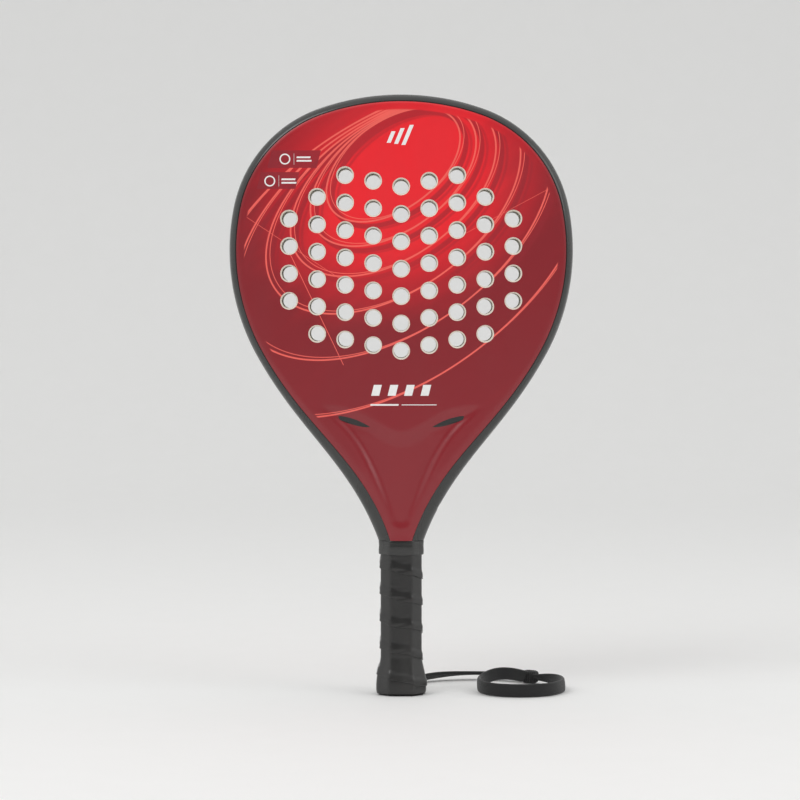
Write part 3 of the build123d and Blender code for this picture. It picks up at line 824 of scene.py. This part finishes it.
def bump(tree, shader, height, strength, distance_m):
    node = tree.add("ShaderNodeBump", {"Height": height, "Strength": strength, "Distance": distance_m})
    tree.put(shader.inputs["Normal"], node.outputs[0])


def object_place(tree):
    return tree.add("ShaderNodeTexCoord").outputs["Object"]


def flat_place(tree, place):
    """The racket's plane as (x, height, 0)."""
    part = tree.add("ShaderNodeSeparateXYZ", {0: place})
    return tree.add("ShaderNodeCombineXYZ", {0: part.outputs[0], 1: part.outputs[2]}).outputs[0]


# ================================================================ materials


def artwork_group(settings, groups):
    """Printed artwork of a face: pairs of tilted ellipses, each larger and lower than the last.

    Ring k has a long half axis of first * growth^k, and its centre drops by 0.59 of what the axis
    has grown. A thin twin lies up and to the right of it, and a dark shade down and to the right."""
    ellipse, bar = groups["ellipse"], groups["bar"]
    group, tree, inputs, outputs = new_group(
        "artwork", [("Place", VECTOR), ("Inset", FLOAT)], [("Color", COLOUR), ("Ink", FLOAT)]
    )
    tilt = settings.ring_tilt
    turned = tree.add(
        "ShaderNodeVectorRotate", {"Vector": inputs["Place"], "Angle": -tilt}, rotation_type="Z_AXIS"
    ).outputs[0]

    def in_turned(x, z):
        c, s = math.cos(tilt), math.sin(tilt)
        return (x * c + z * s, z * c - x * s, 0)

    def ring(index, shift, half, soft, grow=1.0):
        long = settings.ring_first * settings.ring_growth**index * grow
        drop = 0.59 * (settings.ring_first * settings.ring_growth**index - settings.ring_first)
        centre = in_turned(-6.0 * MM + shift[0], TOP - 53.5 * MM - drop + shift[1])
        inverse = (1 / long, 1 / (long * settings.ring_flat), 0)
        return use_group(
            tree, ellipse, Place=turned, Centre=centre, Inverse=inverse, Half=half, Soft=soft
        )["Mask"]

    def most(masks):
        total = masks[0]
        for mask in masks[1:]:
            total = tree.maths("MAXIMUM", total, mask)
        return total

    def box(x, z, half_x, half_z, lean=0.0):
        place = (x * MM, z * MM, 0)
        return use_group(
            tree, bar, Place=inputs["Place"], Centre=place, Half=(half_x * MM, half_z * MM, 0), Lean=lean
        )["Mask"]

    glow_centre = in_turned(2 * MM, TOP - 68 * MM)
    glow = tree.vector("MULTIPLY", tree.vector("SUBTRACT", turned, glow_centre), (1 / 0.118, 1 / 0.094, 0))
    warm = tree.fade(tree.vector("LENGTH", glow), 0.30, 1.25, 1.0, 0.0)
    streak = tree.noise(tree.vector("MULTIPLY", turned, (9, 60, 1)), 1.0, 2.0)
    warm = tree.maths("ADD", warm, tree.fade(streak, 0.3, 0.7, -0.05, 0.05), clamp=True)
    middle = (0.50, 0.0085, 0.018)
    colour_now = tree.mix(tree.fade(warm, 0, 0.45), tuple(settings.deep), middle)
    colour_now = tree.mix(tree.fade(warm, 0.35, 1.0), colour_now, tuple(settings.bright))

    shade = most([ring(k, (4.5 * MM, -3.4 * MM), 1.9 * MM, 0.7 * MM) for k in range(settings.rings - 1)])
    wash = most([ring(k, (8.5 * MM, -5.0 * MM), 1.0 * MM, 0.8 * MM) for k in range(settings.rings - 2)])
    shade = tree.maths("MAXIMUM", shade, tree.maths("MULTIPLY", wash, 0.6))
    print_area = tree.fade(inputs["Inset"], 11.0 * MM, 12.4 * MM)
    fade_down = tree.fade(tree.add("ShaderNodeSeparateXYZ", {0: inputs["Place"]}).outputs[1], 0.285, 0.35)
    shade = tree.maths("MULTIPLY", tree.maths("MULTIPLY", shade, fade_down), print_area)
    colour_now = tree.mix(tree.maths("MULTIPLY", shade, 0.62), colour_now, (0.30, 0.010, 0.020))

    thick = most([ring(k, (0, 0), 0.62 * MM, 0.22 * MM) for k in range(settings.rings)])
    thin = most([ring(k, (3.0 * MM, 2.1 * MM), 0.30 * MM, 0.2 * MM) for k in range(settings.rings)])
    rays = most([
        box(-86.3, 342.5, 0.3, 32.0, -1.52), box(-66.0, 298.0, 0.3, 47.0, -0.48),
        box(80.0, 367.0, 0.3, 21.0, 1.87),
    ])
    lines = tree.maths("MULTIPLY", most([thick, thin, rays]), print_area)

    panels = most([box(-80.5, 405.8, 18.5, 6.6, 0.25), box(-92.5, 389.8, 14.5, 6.3, 0.25)])
    lines = tree.maths("MULTIPLY", lines, tree.maths("SUBTRACT", 1.0, panels))
    colour_now = tree.mix(tree.maths("MULTIPLY", lines, 0.93), colour_now, tuple(settings.line))
    colour_now = tree.mix(tree.maths("MULTIPLY", panels, 0.75), colour_now, (0.27, 0.017, 0.028))
    dashes = most([box(-83.5 + 6.6 * k, 397.8, 1.1, 1.5, 0.9) for k in range(3)])
    colour_now = tree.mix(dashes, colour_now, tuple(settings.line))

    labels = []
    for x, z in ((-87.4, 405.9), (-98.8, 389.4)):
        badge = tree.vector("LENGTH", tree.vector("SUBTRACT", inputs["Place"], (x * MM, z * MM, 0)))
        off = tree.maths("ABSOLUTE", tree.maths("SUBTRACT", badge, 3.6 * MM))
        labels.append(tree.fade(off, 0.35 * MM, 0.6 * MM, 1.0, 0.0))
        labels.append(tree.maths("MULTIPLY", box(x + 6.8, z, 0.16, 4.2), 0.6))
        labels += [box(x + 14.0, z + 1.3, 5.2, 0.62, 0.2), box(x + 14.4, z - 1.3, 5.6, 0.62, 0.2)]
    emblem = [
        box(-1.4 + 6.2 * k, 424.0 - 0.8 * abs(k - 1), 1.5, 7.5 - 1.6 * abs(k - 1), 0.42)
        for k in range(-1, 2)
    ]
    word = [box(-18.6 + 12.4 * k, 232.0, 3.0, 4.1, 0.25) for k in range(4)]
    motto = [box(-12.6, 221.0, 10.6, 0.62, 0.3), box(13.5, 221.0, 13.2, 0.3, 0.3)]
    marks = most(labels + emblem + word + motto)
    colour_now = tree.mix(marks, colour_now, tuple(settings.mark))
    tree.put(outputs["Color"], colour_now)
    tree.put(outputs["Ink"], most([marks, lines]))
    return group


def face_material(settings, groups):
    """Printed glass-fibre skin under satin lacquer, with a faint weave and dust, and painted shade along its
    outer edge beside the frame's groove.
    """
    material, tree, shader = new_material(
        "printed_skin", (0.6, 0.02, 0.03), Roughness=0.34, Coat_Weight=0.35, Coat_Roughness=0.22,
        Coat_IOR=1.45
    )
    place = object_place(tree)
    inset = tree.add("ShaderNodeAttribute", attribute_name="inset").outputs["Fac"]
    art = use_group(tree, groups["artwork"], Place=flat_place(tree, place), Inset=inset)
    weave = use_group(tree, groups["weave"], Place=flat_place(tree, place), Across=3900.0, Along=3900.0)
    wear = use_group(tree, groups["wear"], Place=place, Amount=1.0)
    toned = tree.mix(tree.maths("MULTIPLY", wear["Mask"], 0.07), art["Color"], (0.16, 0.012, 0.016))
    # painted shade: the skin's outermost millimetre, next to the groove at the frame, is darkened towards
    # deep red
    edge = tree.fade(inset, 5.2 * MM, 6.2 * MM, 0.55, 0.0)
    tree.put(shader.inputs["Base Color"], tree.mix(edge, toned, (0.18, 0.006, 0.012)))
    rough = tree.fade(wear["Mask"], 0.0, 1.0, 0.30, 0.38)
    tree.put(shader.inputs["Roughness"], rough)
    thread, ink = tree.maths("MULTIPLY", weave["Height"], 0.10), tree.maths("MULTIPLY", art["Ink"], 0.6)
    height = tree.maths("ADD", thread, ink)
    height = tree.maths("ADD", height, tree.maths("MULTIPLY", wear["Height"], 0.12))
    bump(tree, shader, height, 0.35, 0.05 * MM)
    return material


def bevel_material(groups):
    """Cut edge of a hole: pale resin and glass fibre, with fine chatter from the drill."""
    material, tree, shader = new_material("cut_edge", (0.8, 0.76, 0.68), Roughness=0.55)
    place = object_place(tree)
    speck = tree.noise(place, 1800.0, 3.0)
    wear = use_group(tree, groups["wear"], Place=place, Amount=1.0)
    resin = tree.mix(tree.fade(speck, 0.35, 0.75), (0.86, 0.80, 0.71), (0.66, 0.53, 0.44))
    tree.put(shader.inputs["Base Color"], resin)
    tree.put(shader.inputs["Roughness"], tree.fade(wear["Height"], 0.0, 1.0, 0.45, 0.7))
    bump(tree, shader, speck, 0.5, 0.08 * MM)
    return material


def foam_material(groups):
    """Core foam: cream, matt, with small closed cells."""
    material, tree, shader = new_material("core_foam", (0.8, 0.78, 0.7), Roughness=0.8)
    place = object_place(tree)
    cells = tree.add("ShaderNodeTexVoronoi", {"Vector": place, "Scale": 900.0}).outputs["Distance"]
    tone = tree.noise(place, 260.0, 3.0)
    tree.put(shader.inputs["Base Color"], tree.mix(tone, (0.62, 0.61, 0.55), (0.80, 0.78, 0.70)))
    tree.put(shader.inputs["Roughness"], tree.fade(cells, 0.0, 0.8, 0.72, 0.9))
    bump(tree, shader, cells, 0.6, 0.2 * MM)
    return material


def frame_material(settings, groups):
    """Dark glossy lacquer over glass fibre, with generic pale bars on the throat's right side."""
    material, tree, shader = new_material(
        "frame_lacquer", (0.03, 0.03, 0.03), Roughness=0.28, Coat_Weight=0.6, Coat_Roughness=0.1, Coat_IOR=1.5
    )
    place = object_place(tree)
    wear = use_group(tree, groups["wear"], Place=place, Amount=1.0)
    fleck = tree.fade(tree.noise(place, 3200.0, 1.0), 0.62, 0.8)
    base = tuple(settings.frame_colour)
    lighter = tuple(min(1, c * 2.2) for c in base)
    lacquer = tree.mix(tree.maths("MULTIPLY", fleck, 0.6), base, lighter)
    lacquer = tree.mix(tree.maths("MULTIPLY", wear["Mask"], 0.35), lacquer, (0.024, 0.025, 0.022))
    part = tree.add("ShaderNodeSeparateXYZ", {0: place})
    side = tree.add("ShaderNodeCombineXYZ", {0: part.outputs[2], 1: part.outputs[1]}).outputs[0]
    bars = None
    for k in range(4):
        bar = use_group(
            tree, groups["bar"], Place=side, Centre=((146 + 10.5 * k) * MM, -2.0 * MM, 0),
            Half=(2.1 * MM, 8.5 * MM, 0), Lean=0.25
        )["Mask"]
        bars = bar if bars is None else tree.maths("MAXIMUM", bars, bar)
    bars = tree.maths("MULTIPLY", bars, tree.fade(part.outputs[0], 0.0, 1.0 * MM))
    tree.put(shader.inputs["Base Color"], tree.mix(bars, lacquer, (0.85, 0.85, 0.84)))
    tree.put(shader.inputs["Roughness"], tree.fade(wear["Mask"], 0.0, 1.0, 0.24, 0.36))
    bump(tree, shader, wear["Height"], 0.15, 0.03 * MM)
    return material


def tape_material(name, groups, roughness, tone, coat):
    """Soft black polyurethane: fine leather-like grain, pinpricks and a slight uneven gloss."""
    material, tree, shader = new_material(
        name, tone, Roughness=roughness, Coat_Weight=coat, Coat_Roughness=0.2, Specular_IOR_Level=0.5
    )
    place = object_place(tree)
    wear = use_group(tree, groups["wear"], Place=place, Amount=1.0)
    grain = tree.add("ShaderNodeTexVoronoi", {"Vector": place, "Scale": 1500.0}).outputs["Distance"]
    worn = tuple(c * 1.9 for c in tone)
    tree.put(shader.inputs["Base Color"], tree.mix(wear["Mask"], tone, worn))
    tree.put(shader.inputs["Roughness"], tree.fade(wear["Mask"], 0.0, 1.0, roughness - 0.06, roughness + 0.1))
    ruck = tree.noise(tree.vector("MULTIPLY", place, (60, 60, 190)), 1.0, 3.0)
    height = tree.maths("ADD", tree.maths("MULTIPLY", grain, 0.10), tree.maths("MULTIPLY", ruck, 1.0))
    bump(tree, shader, height, 0.35, 0.5 * MM)
    return material


def strap_material(groups, name="strap_braid", scale=1.0):
    """Black braid: yarns crossing along and across the strap's own UV map, with fuzz."""
    material, tree, shader = new_material(
        name, (0.01, 0.01, 0.01), Roughness=0.78, Sheen_Weight=0.25, Sheen_Roughness=0.4
    )
    coords = tree.add("ShaderNodeTexCoord")
    weave = use_group(
        tree, groups["weave"], Place=coords.outputs["UV"], Across=4200.0 * scale, Along=5200.0 * scale
    )
    fuzz = tree.noise(coords.outputs["Object"], 2400.0, 3.0)
    yarn = tree.mix(weave["Height"], (0.0045, 0.0045, 0.0048), (0.016, 0.016, 0.0165))
    fuzzy = tree.mix(tree.fade(fuzz, 0.5, 0.8, 0.0, 0.5), yarn, (0.022, 0.022, 0.022))
    tree.put(shader.inputs["Base Color"], fuzzy)
    tree.put(shader.inputs["Roughness"], tree.fade(fuzz, 0.0, 1.0, 0.7, 0.9))
    height = tree.maths("ADD", weave["Height"], tree.maths("MULTIPLY", fuzz, 0.35))
    bump(tree, shader, height, 0.7, 0.22 * MM)
    return material


def plain_material(name, groups, tone, roughness, metallic=0.0, scale=700.0):
    """Hidden inner parts: a toned finish with fine mottling."""
    material, tree, shader = new_material(name, tone, Roughness=roughness, Metallic=metallic)
    place = object_place(tree)
    speck = tree.noise(place, scale, 3.0)
    wear = use_group(tree, groups["wear"], Place=place, Amount=1.0)
    darker = tuple(c * 0.7 for c in tone)
    tree.put(shader.inputs["Base Color"], tree.mix(speck, darker, tone))
    worn = min(1, roughness + 0.12)
    tree.put(shader.inputs["Roughness"], tree.fade(wear["Mask"], 0.0, 1.0, roughness, worn))
    bump(tree, shader, speck, 0.3, 0.1 * MM)
    return material


def floor_material():
    """Pale seamless paper."""
    material, tree, shader = new_material("pale_paper", (0.9, 0.9, 0.9), Roughness=0.75)
    fleck = tree.noise(object_place(tree), 30.0, 2.0)
    tree.put(shader.inputs["Base Color"], tree.mix(fleck, (0.90, 0.90, 0.893), (0.915, 0.915, 0.91)))
    return material


def shader_groups():
    """The shared node groups, built once."""
    if "artwork" in bpy.data.node_groups:
        names = {"ellipse": "ellipse_line", "bar": "leaning_bar", "wear": "handling", "weave": "weave"}
        found = {key: bpy.data.node_groups[name] for key, name in names.items()}
        return {**found, "artwork": bpy.data.node_groups["artwork"]}
    groups = {"ellipse": ellipse_group(), "bar": bar_group(), "wear": wear_group(), "weave": weave_group()}
    groups["artwork"] = artwork_group(bpy.context.scene.racket_face, groups)
    return groups


def repaint(node_name, material):
    """Give a carried-over CAD node its finished material."""
    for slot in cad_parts[node_name].material_slots:
        slot.material = material


# ================================================================ operators


class RACKET_OT_camera(bpy.types.Operator):
    """Places the camera in front of the racket"""

    bl_idname = "racket.camera"
    bl_label = "Camera"

    def execute(self, context):
        stage = context.scene.racket_stage
        data = bpy.data.cameras.new("camera")
        data.lens = stage.lens
        data.sensor_width = 36
        data.clip_end = 50
        camera = bpy.data.objects.new("camera", data)
        camera.location = (-0.9 * MM, -stage.eye_distance, stage.eye_height)
        camera.rotation_euler = (math.pi / 2 - stage.tilt, 0, 0)
        context.scene.collection.objects.link(camera)
        context.scene.camera = camera
        return {"FINISHED"}


class RACKET_OT_strap(bpy.types.Operator):
    """Makes the wrist strap, its tie and its knot in the butt"""

    bl_idname = "racket.strap"
    bl_label = "Wrist strap"

    def execute(self, context):
        groups = shader_groups()
        line = route_line(STRAP_ROUTE)
        braid = strap_material(groups)
        thread = strap_material(groups, "tie_thread", 1.6)
        strap = build_strap(braid, line)
        tie_centre = ((TIE_LOW.x + TIE_HIGH.x) / 2, (TIE_LOW.y + TIE_HIGH.y) / 2, 5.2 * MM)
        tie = build_winding(
            "strap_tie_wound", tie_centre, -38, (6 * MM, 5.6 * MM, 5.1 * MM), 7, thread
        )
        knot = build_winding(
            "strap_knot", (0, 0, 5.9 * MM), 90, (7.2 * MM, 7.2 * MM, 4.1 * MM), 3, braid
        )
        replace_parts(strap, "wrist_strap", "strap_loop")
        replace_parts(tie, "strap_tie")
        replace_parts(knot, "strap_anchor_knot")
        return {"FINISHED"}


class RACKET_OT_frame(bpy.types.Operator):
    """Makes the frame round the head and throat"""

    bl_idname = "racket.frame"
    bl_label = "Frame"

    def execute(self, context):
        shell = build_frame(frame_material(context.scene.racket_body, shader_groups()))
        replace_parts(shell, "frame_tube")
        return {"FINISHED"}


class RACKET_OT_faces(bpy.types.Operator):
    """Makes the two drilled and printed faces"""

    bl_idname = "racket.faces"
    bl_label = "Faces"

    def execute(self, context):
        groups = shader_groups()
        materials = [face_material(context.scene.racket_face, groups), bevel_material(groups)]
        pieces = (("printed_face_front", -1, "front_face"), ("printed_face_back", 1, "back_face"))
        for name, side, node in pieces:
            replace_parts(build_face(name, side, materials), node)
        return {"FINISHED"}


class RACKET_OT_inside(bpy.types.Operator):
    """Finishes the foam core and the hidden inner pieces"""

    bl_idname = "racket.inside"
    bl_label = "Core and inner pieces"

    def execute(self, context):
        groups = shader_groups()
        foam = foam_material(groups)
        for node in ("eva_core", "throat_filler", "handle_core"):
            repaint(node, foam)
        repaint("throat_bridge", plain_material("bridge_laminate", groups, (0.03, 0.03, 0.03), 0.4))
        repaint("frame_bladder", plain_material("bladder_film", groups, (0.7, 0.72, 0.66), 0.35))
        pallet = plain_material("pallet_foam", groups, (0.5, 0.44, 0.33), 0.7)
        repaint("handle_pallet_front", pallet)
        repaint("handle_pallet_back", pallet)
        repaint("butt_cap_staples", plain_material("staple_wire", groups, (0.6, 0.6, 0.6), 0.3, 1.0))
        repaint("grip_underlay", plain_material("underlay_felt", groups, (0.05, 0.05, 0.05), 0.9))
        return {"FINISHED"}


class RACKET_OT_handle(bpy.types.Operator):
    """Makes the butt cap, the wound grip tape and the finishing tape"""

    bl_idname = "racket.handle"
    bl_label = "Handle"

    def execute(self, context):
        groups = shader_groups()
        cap = build_cap(tape_material("cap_rubber", groups, 0.5, (0.012, 0.012, 0.012), 0.0))
        wrap = build_grip(tape_material("grip_tape_skin", groups, 0.36, (0.0125, 0.012, 0.0115), 0.25))
        band = build_finishing_tape(tape_material("finishing_film", groups, 0.25, (0.014, 0.014, 0.013), 0.5))
        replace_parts(cap, "butt_cap")
        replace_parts(wrap, "grip_tape")
        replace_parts(band, "finishing_tape")
        return {"FINISHED"}


class RACKET_OT_stage(bpy.types.Operator):
    """Sets up the seamless floor, the white surround and the lights"""

    bl_idname = "racket.stage"
    bl_label = "Stage"

    def execute(self, context):
        self.sweep_floor()
        self.surround(context.scene.racket_stage)
        self.lights(context.scene.racket_stage)
        context.scene.view_settings.view_transform = "Standard"
        return {"FINISHED"}

    def sweep_floor(self):
        """Floor that turns up into a wall behind: straight, a quarter circle, straight."""
        bend, back, high, half = 1.2, 2.0, 5.0, 6.0
        turn = np.linspace(0, math.pi / 2, 24)
        arc = np.column_stack([back + bend * np.sin(turn), bend * (1 - np.cos(turn))])
        profile = np.vstack([[-6.0, 0], arc, [back + bend, high]])
        rows = np.array([[(x, y, z) for y, z in profile] for x in (-half, half)])
        count = len(profile)
        faces = [[j, j + 1, count + j + 1, count + j][::-1] for j in range(count - 1)]
        mesh = bpy.data.meshes.new("seamless_floor")
        mesh.from_pydata(rows.reshape(-1, 3).tolist(), [], faces)
        mesh.shade_smooth()
        mesh.materials.append(floor_material())
        floor = bpy.data.objects.new("seamless_floor", mesh)
        bpy.context.scene.collection.objects.link(floor)

    def surround(self, stage):
        """White all round, darker behind the camera, where the studio is unlit."""
        world = bpy.data.worlds.new("surround")
        world.use_nodes = True
        bpy.context.scene.world = world
        tree = Tree(world.node_tree)
        direction = tree.add("ShaderNodeTexCoord").outputs["Generated"]
        part = tree.add("ShaderNodeSeparateXYZ", {0: direction})
        front = tree.fade(tree.maths("MULTIPLY", part.outputs[1], -1.0), 0.55, 0.97)
        background = world.node_tree.nodes["Background"]
        tree.put(background.inputs["Color"], tree.mix(front, (1.0, 1.0, 0.995), (0.30, 0.30, 0.30)))
        background.inputs["Strength"].default_value = stage.fill

    def lights(self, stage):
        """A soft key high on the left and in front, and a weaker one on the right."""
        for name, place, size, power in (
            ("key", (-1.3, -1.5, 2.1), 1.6, stage.key),
            ("side", (1.6, -0.9, 1.2), 1.2, stage.key * 0.3),
        ):
            data = bpy.data.lights.new(name, "AREA")
            data.shape = "DISK"
            data.size = size
            data.energy = power
            light = bpy.data.objects.new(name, data)
            light.location = place
            aim = np.array([0, 0, 0.25]) - np.array(place)
            flat = math.hypot(aim[0], aim[1])
            light.rotation_euler = (math.atan2(flat, -aim[2]), 0, math.atan2(aim[1], aim[0]) - math.pi / 2)
            bpy.context.scene.collection.objects.link(light)


class RACKET_PT_panel(bpy.types.Panel):
    """Lists the racket's settings and the steps that build it"""

    bl_idname = "RACKET_PT_panel"
    bl_label = "Padel racket"
    bl_space_type = "VIEW_3D"
    bl_region_type = "UI"
    bl_category = "Racket"

    def draw(self, context):
        for step in STEPS:
            self.layout.operator(step.bl_idname)
        for name in SETTINGS:
            settings = getattr(context.scene, name)
            box = self.layout.box()
            for key in settings.__annotations__:
                box.prop(settings, key)


STEPS = (
    RACKET_OT_camera, RACKET_OT_strap, RACKET_OT_frame, RACKET_OT_faces, RACKET_OT_inside,
    RACKET_OT_handle, RACKET_OT_stage,
)
SETTINGS = {
    "racket_body": RACKET_PG_body,
    "racket_face": RACKET_PG_face,
    "racket_grip": RACKET_PG_grip,
    "racket_strap": RACKET_PG_strap,
    "racket_stage": RACKET_PG_stage,
}


def register():
    for kind in (*SETTINGS.values(), *STEPS, RACKET_PT_panel):
        bpy.utils.register_class(kind)
    for name, kind in SETTINGS.items():
        setattr(bpy.types.Scene, name, PointerProperty(type=kind))


def unregister():
    for name in SETTINGS:
        delattr(bpy.types.Scene, name)
    for kind in reversed((*SETTINGS.values(), *STEPS, RACKET_PT_panel)):
        bpy.utils.unregister_class(kind)


def main():
    register()
    for step in STEPS:
        group, name = step.bl_idname.split(".")
        getattr(getattr(bpy.ops, group), name)()


if __name__ == "__main__":
    main()
